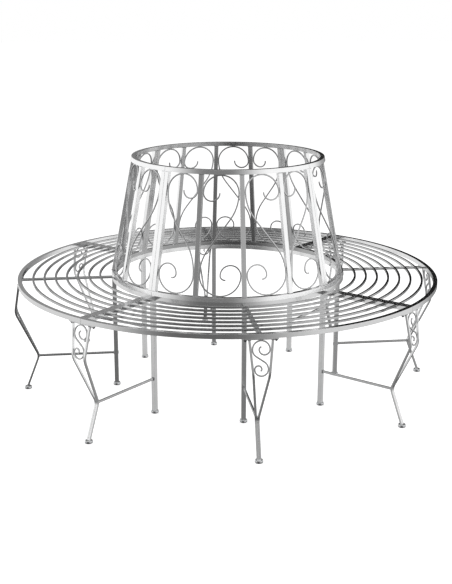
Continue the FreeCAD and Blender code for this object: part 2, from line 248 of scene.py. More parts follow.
class NodeSheet:
    """A node tree with short ways to add nodes and join their sockets.

    The tree's own inputs are read by their names, as in sheet["Radius"].
    """

    def __init__(self, tree: Tree) -> None:
        """Keeps the tree."""
        self.tree = tree
        self.given: Mapping[str, Socket] = {}

    def __getitem__(self, name: str) -> Socket:
        """Socket of an input of the tree."""
        return self.given[name]

    def add(self, kind: str, values: dict | None = None, **settings: object) -> bpy.types.Node:
        """Adds a node.

        Args:
            kind: Blender's name of the node type.
            values: Input values or sockets, by input name or number.
            **settings: Properties of the node itself.

        Returns:
            The new node.
        """
        node = self.tree.nodes.new(kind)
        for name, value in settings.items():
            setattr(node, name, value)
        for key, value in (values or {}).items():
            self.feed(node.inputs[key], value)
        return node

    def out(self, kind: str, values: dict | None = None, **settings: object) -> Socket:
        """Adds a node as add does, and returns its first output."""
        return self.add(kind, values, **settings).outputs[0]

    def feed(self, socket: Socket, value: object) -> None:
        """Joins a socket to another one, or sets its value.

        Args:
            socket: Input that is fed.
            value: The other socket, or the value.
        """
        if isinstance(value, Socket):
            self.tree.links.new(value, socket)
        else:
            socket.default_value = value

    def maths(self, operation: str, *values: object) -> Socket:
        """Adds a sum on the numbers or sockets, and returns its result."""
        return self.out("ShaderNodeMath", dict(enumerate(values)), operation=operation)

    def ramp(self, value: object, start: object, end: object, first: float = 0.0, last: float = 1.0,
             smooth: bool = False) -> Socket:
        """Turns one range of values into another.

        Args:
            value: The number that is turned.
            start: Value at which the result is the first one.
            end: Value at which the result is the last one.
            first: Result at the start.
            last: Result at the end.
            smooth: Whether the result eases in and out.

        Returns:
            The socket with the result.
        """
        kind = "SMOOTHSTEP" if smooth else "LINEAR"
        values = {"Value": value, 1: start, 2: end, 3: first, 4: last}
        return self.out("ShaderNodeMapRange", values, interpolation_type=kind)

    def mix(self, share: object, first: object, second: object) -> Socket:
        """Blends two numbers, and returns the result."""
        return self.out("ShaderNodeMix", {0: share, 2: first, 3: second}, data_type="FLOAT")

    def mix_colours(self, share: object, first: object, second: object) -> Socket:
        """Blends two colours, and returns the result."""
        return self.add("ShaderNodeMix", {0: share, 6: first, 7: second}, data_type="RGBA").outputs[2]

    def place(self) -> Socket:
        """Adds the coordinates of the object."""
        return self.add("ShaderNodeTexCoord").outputs["Object"]

    def noise(self, place: Socket, scale: Socket, **values: float) -> Socket:
        """Adds noise at a place, with its other input values by name."""
        return self.out("ShaderNodeTexNoise", {"Vector": place, "Scale": scale, **values})


def by_socket(values: dict[str, object]) -> dict[str, object]:
    """Values by the names of their sockets, such as Half Angle for half_angle."""
    return {name.replace("_", " ").title(): value for name, value in values.items()}


def new_tree(name: str, kind: str, output: str, **inputs: float | int | None) -> tuple[NodeSheet, Socket]:
    """Starts a node tree with its named sockets.

    Args:
        name: Name of the tree.
        kind: Blender's name of the tree type.
        output: Name of the output.
        **inputs: Default value of each input, or none for a shape or a material.

    Returns:
        The sheet and the socket of the tree's result.
    """
    tree = bpy.data.node_groups.new(name, kind)
    sockets = [(key, "INPUT", value) for key, value in by_socket(inputs).items()] + [(output, "OUTPUT", None)]
    for key, side, value in sockets:
        number = "Int" if isinstance(value, int) else "Float"
        form = "NodeSocket" + (key if key in ("Geometry", "Material") else number)
        socket = tree.interface.new_socket(key, in_out=side, socket_type=form)
        if value is not None:
            socket.default_value = value
    sheet = NodeSheet(tree)
    sheet.given = sheet.add("NodeGroupInput").outputs
    return sheet, sheet.add("NodeGroupOutput").inputs[output]


class Trees:
    """Geometry trees for what follows a path or repeats round the trunk."""

    KIND = "GeometryNodeTree"

    def __init__(self) -> None:
        """Builds the three trees."""
        self.bent_bar = self._bent_bar()
        self.wire = self._wire()
        self.copies = self._copies()

    @staticmethod
    def _turn(sheet: NodeSheet, number: Socket) -> Socket:
        """Angle of a numbered copy, from First Angle and Step Angle."""
        return sheet.maths("ADD", sheet.maths("MULTIPLY", number, sheet["Step Angle"]), sheet["First Angle"])

    @staticmethod
    def _sweep(sheet: NodeSheet, path: Socket, height: Socket, steps: int) -> Socket:
        """Runs a rounded rectangle along a path, from Width and Corner Radius.

        Args:
            sheet: Tree that gets the nodes.
            path: Socket with the path.
            height: Socket with the height of the rectangle.
            steps: Segments in each corner.

        Returns:
            Socket with the bar.
        """
        values = {"Width": sheet["Width"], "Height": height}
        outline = sheet.out("GeometryNodeCurvePrimitiveQuadrilateral", values)
        values = {"Curve": outline, "Radius": sheet["Corner Radius"], "Count": steps}
        rounded = sheet.out("GeometryNodeFilletCurve", values, mode="POLY")
        values = {"Curve": path, "Profile Curve": rounded, "Fill Caps": True}
        return sheet.out("GeometryNodeCurveToMesh", values)

    def _round_copies(self, sheet: NodeSheet, part: Socket) -> Socket:
        """Puts real copies of a shape round the Z axis, from Copies and the angles.

        Args:
            sheet: Tree that gets the nodes.
            part: Socket with the shape.

        Returns:
            Socket with the copies.
        """
        points = sheet.out("GeometryNodePoints", {"Count": sheet["Copies"]})
        turn = self._turn(sheet, sheet.out("GeometryNodeInputIndex"))
        euler = sheet.out("ShaderNodeCombineXYZ", {"Z": turn})
        rotation = sheet.out("FunctionNodeEulerToRotation", {"Euler": euler})
        values = {"Points": points, "Instance": part, "Rotation": rotation}
        spread = sheet.out("GeometryNodeInstanceOnPoints", values)
        return sheet.out("GeometryNodeRealizeInstances", {"Geometry": spread})

    @staticmethod
    def _finish(sheet: NodeSheet, result: Socket, part: Socket) -> Tree:
        """Ends a tree with its material.

        Args:
            sheet: Tree that gets the nodes.
            result: Socket of its result.
            part: Socket with the shape.

        Returns:
            The finished tree.
        """
        values = {"Geometry": part, "Material": sheet["Material"]}
        sheet.feed(result, sheet.out("GeometryNodeSetMaterial", values))
        return sheet.tree

    def _bent_bar(self) -> Tree:
        """Bar of rounded rectangular section, bent round the trunk and repeated."""
        sheet, result = new_tree(
            "Bent bar", self.KIND, "Geometry", radius=1.0, half_angle=1.0, width=0.016, height=0.016,
            underside=0.0, corner_radius=0.002, lean=0.0, points=48, copies=4, first_angle=0.0,
            step_angle=1.0, material=None)
        arc = sheet.out("GeometryNodeCurveArc", {
            "Resolution": sheet["Points"],
            "Radius": sheet["Radius"],
            "Start Angle": sheet.maths("MULTIPLY", sheet["Half Angle"], -1.0),
            "Sweep Angle": sheet.maths("MULTIPLY", sheet["Half Angle"], 2.0),
        })
        upright = sheet.out("GeometryNodeSetCurveNormal", {"Curve": arc}, mode="Z_UP")
        bar = self._sweep(sheet, upright, sheet["Height"], CORNER_STEPS)
        place = sheet.out("GeometryNodeInputPosition")
        rise = sheet.add("ShaderNodeSeparateXYZ", {0: place}).outputs["Z"]
        inward = sheet.maths("DIVIDE", sheet.maths("MULTIPLY", rise, sheet["Lean"]), sheet["Radius"])
        share = sheet.out("ShaderNodeCombineXYZ", {"X": inward, "Y": inward})
        shift = sheet.out("ShaderNodeVectorMath", {0: place, 1: share}, operation="MULTIPLY")
        leaning = sheet.out("GeometryNodeSetPosition", {"Geometry": bar, "Offset": shift})
        middle = sheet.maths("ADD", sheet["Underside"], sheet.maths("MULTIPLY", sheet["Height"], 0.5))
        lift = sheet.out("ShaderNodeCombineXYZ", {"Z": middle})
        raised = sheet.out("GeometryNodeTransform", {"Geometry": leaning, "Translation": lift})
        return self._finish(sheet, result, self._round_copies(sheet, raised))

    def _wire(self) -> Tree:
        """Square wire with rounded corners that follows each spline of an object.

        The splines stand round the trunk, and the wire's flat sides face outwards.
        """
        sheet, result = new_tree(
            "Scroll wire", self.KIND, "Geometry", geometry=None, width=0.005, corner_radius=0.001,
            first_angle=0.0, step_angle=1.0, lean=0.0, material=None)
        turn = self._turn(sheet, sheet.out("GeometryNodeCurveOfPoint"))
        level = {"X": sheet.maths("COSINE", turn), "Y": sheet.maths("SINE", turn)}
        outward = sheet.out("ShaderNodeCombineXYZ", {**level, "Z": sheet["Lean"]})
        values = {"Curve": sheet["Geometry"], "Normal": outward}
        facing = sheet.out("GeometryNodeSetCurveNormal", values, mode="FREE")
        wire = self._sweep(sheet, facing, sheet["Width"], WIRE_CORNER_STEPS)
        return self._finish(sheet, result, sheet.out("GeometryNodeRealizeInstances", {"Geometry": wire}))

    def _copies(self) -> Tree:
        """Copies of the object's own mesh, turned round the trunk."""
        sheet, result = new_tree(
            "Copies round the trunk", self.KIND, "Geometry", geometry=None, copies=4, first_angle=0.0,
            step_angle=1.0, material=None)
        return self._finish(sheet, result, self._round_copies(sheet, sheet["Geometry"]))


class Effects:
    """Shader groups that more than one finish uses."""

    KIND = "ShaderNodeTree"

    def __init__(self) -> None:
        """Builds the groups."""
        self.bloom = self._bloom()
        self.grain = self._grain()
        self.rubbed_edges = self._rubbed_edges()

    def _bloom(self) -> Tree:
        """Soft clouds and small crystals of a zinc coat."""
        sheet, result = new_tree(
            "Zinc bloom", self.KIND, "Mask", cloud_scale=14.0, crystal_scale=220.0, crystal_share=0.4)
        place = sheet.place()
        clouds = sheet.noise(place, sheet["Cloud Scale"], Detail=5.0, Roughness=0.6)
        crystals = sheet.add("ShaderNodeTexVoronoi", {"Vector": place, "Scale": sheet["Crystal Scale"]})
        shade = sheet.out("ShaderNodeSeparateColor", {"Color": crystals.outputs["Color"]})
        sheet.feed(result, sheet.mix(sheet["Crystal Share"], clouds, shade))
        return sheet.tree

    def _grain(self) -> Tree:
        """Fine unevenness of a dipped or painted steel surface."""
        sheet, result = new_tree("Coat grain", self.KIND, "Height", scale=700.0)
        sheet.feed(result, sheet.noise(sheet.place(), sheet["Scale"], Detail=3.0))
        return sheet.tree

    def _rubbed_edges(self) -> Tree:
        """Mask of the corners where a coat is rubbed thin."""
        sheet, result = new_tree("Rubbed edges", self.KIND, "Mask", radius=0.0015, breakup_scale=60.0)
        soft = sheet.out("ShaderNodeBevel", {"Radius": sheet["Radius"]}, samples=BEVEL_SAMPLES)
        flat = sheet.add("ShaderNodeNewGeometry").outputs["Normal"]
        same = sheet.add("ShaderNodeVectorMath", {0: soft, 1: flat}, operation="DOT_PRODUCT").outputs["Value"]
        breakup = sheet.noise(sheet.place(), sheet["Breakup Scale"], Detail=4.0)
        worn = sheet.ramp(breakup, *BREAKUP_RANGE)
        sheet.feed(result, sheet.maths("MULTIPLY", sheet.ramp(same, *CORNER_RANGE), worn))
        return sheet.tree


@dataclass(frozen=True)
class CoatedSteel:
    """A coated steel finish: its tones, gloss and fine structure."""

    name: str
    dull: Triple = (0.91, 0.913, 0.916)
    bright: Triple = (0.965, 0.967, 0.969)
    worn: Triple = (0.98, 0.98, 0.98)
    roughness: tuple[float, float] = (0.2, 0.15)
    cloud_scale: float = 14.0
    crystal_scale: float = 220.0
    crystal_share: float = 0.15
    grain_scale: float = 700.0
    grain_depth: float = 0.000001
    edge_radius: float = 0.0015

    def build(self, effects: Effects) -> Material:
        """Makes the material.

        Args:
            effects: Shader groups of the finishes.

        Returns:
            The new material.
        """
        material = bpy.data.materials.new(self.name)
        material.use_nodes = True
        sheet = NodeSheet(material.node_tree)
        bloom = sheet.out("ShaderNodeGroup", by_socket({
            "cloud_scale": self.cloud_scale,
            "crystal_scale": self.crystal_scale,
            "crystal_share": self.crystal_share,
        }), node_tree=effects.bloom)
        edges = sheet.out("ShaderNodeGroup", {"Radius": self.edge_radius}, node_tree=effects.rubbed_edges)
        grain = sheet.out("ShaderNodeGroup", {"Scale": self.grain_scale}, node_tree=effects.grain)
        coat = sheet.mix_colours(sheet.ramp(bloom, *BLOOM_RANGE), (*self.dull, 1.0), (*self.bright, 1.0))
        bump = sheet.out("ShaderNodeBump", {"Height": grain, "Distance": self.grain_depth, "Strength": 1.0})
        shader = material.node_tree.nodes["Principled BSDF"]
        for name, value in (
            ("Metallic", 1.0),
            ("Base Color", sheet.mix_colours(edges, coat, (*self.worn, 1.0))),
            ("Roughness", sheet.ramp(bloom, *BLOOM_RANGE, *self.roughness)),
            ("Normal", bump),
        ):
            sheet.feed(shader.inputs[name], value)
        return material


class Finishes:
    """The materials of the bench. The rod, leg and wire finishes are darker copies of the tubes' silver coat,
    with painted shade in their colour; the welds are part weld tone and part painted shade, and the bolts are
    painted shade.
    """

    def __init__(self) -> None:
        """Builds every finish."""
        effects = Effects()
        self.tube = CoatedSteel("silver_coated_tube").build(effects)
        # Same silver coat as the tubes, made darker: the lower tones are painted shade for the dark look of
        # the rods.
        self.rod = CoatedSteel(
            "silver_coated_rod", dull=(0.64, 0.643, 0.646), bright=(0.71, 0.713, 0.716),
            worn=(0.78, 0.78, 0.78), cloud_scale=24.0, edge_radius=0.001).build(effects)
        # Same silver coat as the tubes, made darker: the lower tones are painted shade on the legs, plates
        # and stretcher bolts.
        self.leg = CoatedSteel(
            "silver_coated_leg", dull=(0.77, 0.773, 0.776), bright=(0.84, 0.843, 0.846), worn=(0.9, 0.9, 0.9),
            cloud_scale=24.0, edge_radius=0.001).build(effects)
        # Same silver coat as the tubes, made darker: the lower tones are painted shade on the thin scroll
        # wires.
        self.wire = CoatedSteel(
            "silver_coated_wire", dull=(0.58, 0.582, 0.585), bright=(0.68, 0.682, 0.685),
            worn=(0.8, 0.8, 0.8), roughness=(0.24, 0.18), cloud_scale=30.0, edge_radius=0.0007).build(effects)
        # Dark weld tone: partly the rough weld metal under the coat, partly painted shade at the joints of
        # the posts and stretchers.
        self.weld = CoatedSteel(
            "coated_weld", dull=(0.22, 0.22, 0.23), bright=(0.38, 0.38, 0.39), roughness=(0.5, 0.36),
            grain_scale=500.0, grain_depth=0.0002).build(effects)
        self.glide = CoatedSteel(
            "bright_glide", dull=(0.66, 0.67, 0.68), bright=(0.82, 0.83, 0.84), roughness=(0.2, 0.12),
            crystal_share=0.1).build(effects)
        # Near-black bolt tone is painted shade for the heads under the seat rim; a zinc bolt is not this
        # dark.
        self.bolt = CoatedSteel(
            "zinc_bolt", dull=(0.12, 0.12, 0.125), bright=(0.22, 0.22, 0.225), roughness=(0.36, 0.26),
            crystal_share=0.2).build(effects)


@dataclass(frozen=True)
class Piece:
    """Name of a piece, its finish and slot, and the CAD node that it stands for."""

    name: str
    finish: Material
    slot: Slot
    node: str = ""


class Fitter:
    """Turns finished meshes into pieces of the bench and keeps count."""

    def __init__(self) -> None:
        """Starts with no pieces."""
        self.count = 0

    def fit(self, kind: Piece, mesh: Mesh) -> None:
        """Puts a piece on the bench.

        Args:
            kind: What the piece is.
            mesh: Its mesh, already in place.
        """
        nodes = [kind.node] if kind.node else []
        self._face_outwards(mesh)
        mesh.materials.clear()
        mesh.materials.append(kind.finish)
        piece = place_object(kind.name, mesh)
        self._flatten_faces(piece)
        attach(piece, BODY)
        if nodes:
            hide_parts(*nodes)
        self.count += 1
        log.info("piece %s: %d faces", kind.name, len(piece.data.polygons))

    @staticmethod
    def _face_outwards(mesh: Mesh) -> None:
        """Merges doubles, turns all faces outwards and shades them smoothly.

        Args:
            mesh: The mesh, which is changed.
        """
        shape = bmesh.new()
        shape.from_mesh(mesh)
        bmesh.ops.remove_doubles(shape, verts=shape.verts, dist=MERGE_DISTANCE)
        bmesh.ops.recalc_face_normals(shape, faces=shape.faces)
        for face in shape.faces:
            face.smooth = True
        shape.to_mesh(mesh)
        shape.free()
        mesh.set_sharp_from_angle(angle=SHARP_ANGLE)

    @staticmethod
    def _flatten_faces(piece: bpy.types.Object) -> None:
        """Keeps broad faces flat in the shading, with the roundness in the corners.

        Args:
            piece: The object, whose mesh is replaced.
        """
        weight = piece.modifiers.new("Flat faces", "WEIGHTED_NORMAL")
        weight.keep_sharp = True
        mesh = evaluated_mesh(piece)
        piece.modifiers.remove(weight)
        old, piece.data = piece.data, mesh
        name = old.name
        bpy.data.meshes.remove(old)
        mesh.name = name


@dataclass(frozen=True)
class BentBar:
    """Bars bent round the trunk, with a field for each number that their tree takes.

    The radius is that of a bar's middle, and the half angle is in radians. The
    lean is how far the sides lean outwards for each metre of rise.
    """

    radius: float
    width: float
    height: float
    underside: float
    corner_radius: float
    half_angle: float
    copies: int
    lean: float = 0.0
    points: int = 49


@dataclass(frozen=True)
class Stock:
    """Sizes that all sub-assemblies of the bench share."""

    seat_radius: float = 0.8
    seat_height: float = 0.45
    overall_height: float = 0.9
    back_foot_radius: float = 0.446
    back_top_radius: float = 0.364
    tube: float = 0.016
    tube_corner: float = 0.0004
    panel_gap: float = 0.0006
    clearance: float = 0.0003
    panels: int = 4
    legs: int = 8
    wire: float = 0.005
    wire_corner: float = 0.0014
    foot_height: float = 0.012
    plate: float = 0.004

    @property
    def panel_angle(self) -> float:
        """Angle of a panel, in degrees."""
        return 360.0 / self.panels

    @property
    def leg_angle(self) -> float:
        """Angle between two leg frames, in degrees."""
        return 360.0 / self.legs

    @property
    def frame_bottom(self) -> float:
        """Underside of the seat rims."""
        return self.seat_height - self.tube

    @property
    def plate_bottom(self) -> float:
        """Underside of the leg plates."""
        return self.frame_bottom - self.plate

    @property
    def post_bottom(self) -> float:
        """Top of the lower back ring, where the posts stand."""
        return self.seat_height + self.tube

    @property
    def post_top(self) -> float:
        """Underside of the upper back ring."""
        return self.overall_height - self.tube

    @property
    def joint_side(self) -> float:
        """Far side of an end bar, measured from its joint plane."""
        return self.panel_gap / 2 + self.tube

    @property
    def joint_middle(self) -> float:
        """Middle of an end bar or post, measured from its joint plane."""
        return self.panel_gap / 2 + self.tube / 2

    def panel_middle(self, index: int) -> float:
        """Angle of the middle of a panel, in degrees."""
        return FIRST_ANGLE + self.panel_angle * index

    def leg_middle(self, index: int) -> float:
        """Angle of a leg frame, in degrees."""
        return FIRST_ANGLE + self.leg_angle * index

    def ring(self, outer: float, size: float, underside: float, corner: float, end_offset: float,
             lean: float = 0.0) -> BentBar:
        """Circle of square bars, one to a panel.

        Args:
            outer: Outer radius of the circle.
            size: Width and height of the bar.
            underside: Height of its underside above the floor.
            corner: Radius of its corners.
            end_offset: Distance from a bar's end to the joint plane.
            lean: How far its sides lean inwards for each metre of rise.

        Returns:
            The bars.
        """
        radius = outer - size / 2
        half_angle = math.radians(self.panel_angle / 2) - math.asin(end_offset / radius)
        return BentBar(radius, size, size, underside, corner, half_angle, self.panels, -lean)

    def tube_ring(self, outer: float, underside: float, lean: float = 0.0) -> BentBar:
        """Circle of square tubes, one to a panel, as ring gives it."""
        return self.ring(outer, self.tube, underside, self.tube_corner, self.panel_gap / 2, lean)


@dataclass
class Assembly:
    """A part of the bench, with what it needs to make its pieces."""

    stock: Stock
    trees: Trees
    finishes: Finishes
    fitter: Fitter

    def _fit_shape(self, piece: Piece, data: bpy.types.ID, tree: Tree, values: dict[str, float]) -> None:
        """Runs a geometry tree on some data and fits the plain mesh.

        Args:
            piece: What the piece is.
            data: Mesh or curve that the tree works on.
            tree: The geometry tree.
            values: Input values, by the names of their fields.
        """
        named = by_socket(values)
        carrier = place_object(piece.name + "_carrier", data)
        modifier = carrier.modifiers.new("Shape", "NODES")
        modifier.node_group = tree
        for item in tree.interface.items_tree:
            if item.item_type == "SOCKET" and item.in_out == "INPUT" and item.name in named:
                modifier[item.identifier] = named[item.name]
        mesh = evaluated_mesh(carrier)
        mesh.name = piece.name
        bpy.data.objects.remove(carrier)
        self.fitter.fit(piece, mesh)

    def fit_bars(self, piece: Piece, bar: BentBar) -> None:
        """Fits bent bars round the trunk as one piece.

        Args:
            piece: What the piece is.
            bar: The bars.
        """
        empty = bpy.data.meshes.new(piece.name)
        values = asdict(bar) | self._spread(bar.copies, FIRST_ANGLE)
        self._fit_shape(piece, empty, self.trees.bent_bar, values)

    @staticmethod
    def _spread(copies: int, first_angle: float) -> dict[str, float]:
        """Angles in radians of copies round the whole trunk."""
        return {"first_angle": math.radians(first_angle), "step_angle": 2 * math.pi / copies}

    def fit_copies(self, piece: Piece, build: Build, copies: int = 1,
                   first_angle: float = FIRST_ANGLE) -> None:
        """Fits equal shapes round the trunk as one piece.

        Args:
            piece: What the piece is.
            build: Function that adds the shape as it stands at angle nought.
            copies: Number of shapes.
            first_angle: Angle of the first shape, in degrees.
        """
        shape = bmesh.new()
        build(shape)
        mesh = bpy.data.meshes.new(piece.name + "_one")
        shape.to_mesh(mesh)
        shape.free()
        values = {"copies": copies} | self._spread(copies, first_angle)
        self._fit_shape(piece, mesh, self.trees.copies, values)

    def fit_wires(self, piece: Piece, wires: Sequence[Sequence[Vector]], first_angle: float,
                  step_angle: float, lean: float) -> None:
        """Fits square wires that stand round the trunk as one piece.

        Args:
            piece: What the piece is.
            wires: Centre line of each wire.
            first_angle: Angle of the first wire, in degrees.
            step_angle: Angle from one wire to the next, in degrees.
            lean: How far the wires lean inwards for each metre of rise.
        """
        curve = bpy.data.curves.new(piece.name, "CURVE")
        curve.dimensions = "3D"
        for points in wires:
            spline = curve.splines.new("POLY")
            spline.points.add(len(points) - 1)
            for target, point in zip(spline.points, points):
                target.co = (*point, 1.0)
        self._fit_shape(piece, curve, self.trees.wire, {
            "width": self.stock.wire,
            "corner_radius": self.stock.wire_corner,
            "first_angle": math.radians(first_angle),
            "step_angle": math.radians(step_angle),
            "lean": lean,
        })


@dataclass
class Seat(Assembly):
    """Seat rims, bent rods and the bars under and beside them."""

    rod_count: int = 7
    rod: float = 0.0075
    rod_corner: float = 0.0004
    rod_outer_space: float = 0.038
    rod_inner_space: float = 0.041
    mid_bar_height: float = 0.008
    mid_bar_corner: float = 0.0012
    weld: float = 0.0016
    weld_drop: float = 0.0002
    weld_spot: float = 0.0014
    joint_corner: float = 0.00025

    def rod_outer(self, index: int) -> float:
        """Outer radius of a circle of rods.

        Args:
            index: Number of the circle, from the outside.

        Returns:
            The radius.
        """
        first = self.stock.seat_radius - self.stock.tube - self.rod_outer_space
        last = self.stock.back_foot_radius + self.rod_inner_space + self.rod
        return first - (first - last) / (self.rod_count - 1) * index

    def build(self) -> None:
        """Fits the rims, rods, bars and welds of the seat."""
        stock, finishes = self.stock, self.finishes
        for side, outer in (("outer", stock.seat_radius), ("inner", stock.back_foot_radius)):
            piece = Piece(side + "_rim_tubes", finishes.tube, Slot.TUBE, "seat_" + side + "_rim")
            self.fit_bars(piece, stock.tube_ring(outer, stock.frame_bottom))
        low = stock.seat_height - self.rod
        for index in range(self.rod_count):
            number = str(index + 1)
            piece = Piece("bent_rods_" + number, finishes.rod, Slot.ROD, "seat_rod_ring_" + number)
            outer = self.rod_outer(index)
            self.fit_bars(piece, stock.ring(outer, self.rod, low, self.rod_corner, stock.joint_side))
        piece = Piece("flat_bars_under_rods", finishes.rod, Slot.ROD, "seat_mid_bars")
        self.fit_copies(piece, self._mid_bar, stock.panels)
        for index, panel in enumerate(PANEL_NAMES):
            piece = Piece("joint_bars_" + panel, finishes.tube, Slot.TUBE, "seat_end_bars_" + panel)
            self.fit_copies(piece, self._end_bars, 1, stock.panel_middle(index))
        self.fit_copies(Piece("rod_welds", finishes.rod, Slot.ROD), self._rod_welds, stock.panels)

    def _radial_bar(self, mesh: BMesh, end: float, low: float, height: float, corner: float,
                    angle: float = 0.0, across: float = 0.0) -> None:
        """Adds a level bar, as wide as a tube, from the inner rim to the outer one.

        Args:
            mesh: Mesh that gets the bar.
            end: How far to the side its farther edge meets the outer rim.
            low: Height of its underside.
            height: Height of the bar.
            corner: Radius of its corners.
            angle: Its angle round the trunk, in degrees.
            across: Sideways place of its middle.
        """
        stock = self.stock
        outer = math.sqrt((stock.seat_radius - stock.tube) ** 2 - end ** 2)
        outline = rounded_rectangle(stock.tube, height, corner)
        middle = low + height / 2
        loft(mesh, [[polar(radius, angle, middle + y, across + x) for x, y in outline]
                    for radius in (stock.back_foot_radius, outer)])

    def _mid_bar(self, mesh: BMesh) -> None:
        """Adds the flat bar under the rods."""
        low = self.stock.seat_height - self.rod - self.mid_bar_height
        self._radial_bar(mesh, self.stock.tube / 2, low, self.mid_bar_height, self.mid_bar_corner)

    def _end_bars(self, mesh: BMesh) -> None:
        """Adds the two tubes beside the joints of a panel.

        Args:
            mesh: Mesh that gets the tubes.
        """
        stock = self.stock
        for side in SIDES:
            self._radial_bar(mesh, stock.joint_side, stock.frame_bottom, stock.tube, self.joint_corner,
                             side * stock.panel_angle / 2, -side * stock.joint_middle)

    def _rod_welds(self, mesh: BMesh) -> None:
        """Adds the welds at both ends of each rod and over the flat bar.

        Args:
            mesh: Mesh that gets the welds.
        """
        stock = self.stock
        middle = stock.seat_height - self.rod / 2 - self.weld - self.weld_drop
        for index in range(self.rod_count):
            radius = self.rod_outer(index) - self.rod / 2
            for side in SIDES:
                angle = side * stock.panel_angle / 2
                reach = math.sqrt(radius ** 2 - stock.joint_side ** 2)
                origin = polar(reach, angle, middle, -side * stock.joint_side)
                place = axes(origin, polar(1.0, angle), polar(0.0, angle, 0.0, -side))
                weld_collar(mesh, self.rod, self.rod, self.weld, place)
            for side in SIDES:
                place = Matrix.Translation((radius + side * self.rod / 2, 0.0, stock.seat_height - self.rod))
                bmesh.ops.create_icosphere(mesh, subdivisions=1, radius=self.weld_spot, matrix=place)


@dataclass(frozen=True)
class Loop:
    """One end of an S-scroll: its loop, and the eye and curl as parts of it."""

    radius: float
    eye: float
    curl: float
    curl_turn: float


def follow(start: Point2, heading: float, runs: Sequence[tuple[float, float]]) -> list[Point2]:
    """Points along a line of arcs and straight runs.

    Args:
        start: Where the line starts.
        heading: Its first direction, in degrees.
        runs: Radius and signed turn of each arc, or length and no turn.

    Returns:
        The points.
    """
    x, y = start
    points = [(x, y)]
    for size, turn in runs:
        steps = max(LEAST_ARC_STEPS, round(abs(turn) / ARC_STEP)) if turn else 1
        step = turn / steps
        chord = 2 * size * math.sin(math.radians(abs(step) / 2)) if turn else size
        for _ in range(steps):
            x += chord * math.cos(math.radians(heading + step / 2))
            y += chord * math.sin(math.radians(heading + step / 2))
            heading += step
            points.append((x, y))
    return points


def s_scroll(height: float, neck_angle: float, top: Loop, foot: Loop) -> list[Point2]:
    """Centre line of an S-scroll in its own plane.

    Args:
        height: Height between the centre lines of its two loops.
        neck_angle: Slope of the neck between the loops, in degrees.
        top: The upper loop.
        foot: The lower loop.

    Returns:
        Points along the wire, from the upper eye to the lower one.
    """
    eye = top.radius * top.eye
    curl = top.radius * top.curl
    shift = top.radius + foot.radius
    sine = math.sin(math.radians(neck_angle))
    cosine = math.cos(math.radians(neck_angle))
    double = ((height - shift) * sine - shift * cosine) / (1 - cosine)
    neck_radius = double / 2
    neck_length = (shift - double * (1 - cosine)) / sine
    heading = -90.0 - top.curl_turn
    turn = math.radians(heading)
    start = (top.radius - 2 * eye + curl + curl * math.sin(turn), height - top.radius - curl * math.cos(turn))
    runs = [
        (curl, top.curl_turn),
        (eye, 180.0),
        (top.radius, 180.0),
        (neck_radius, neck_angle),
        (neck_length, 0.0),
        (neck_radius, -neck_angle),
        (foot.radius, -180.0),
        (foot.radius * foot.eye, -180.0),
        (foot.radius * foot.curl, -foot.curl_turn),
    ]
    return follow(start, heading, runs[0 if top.curl_turn else 1:])


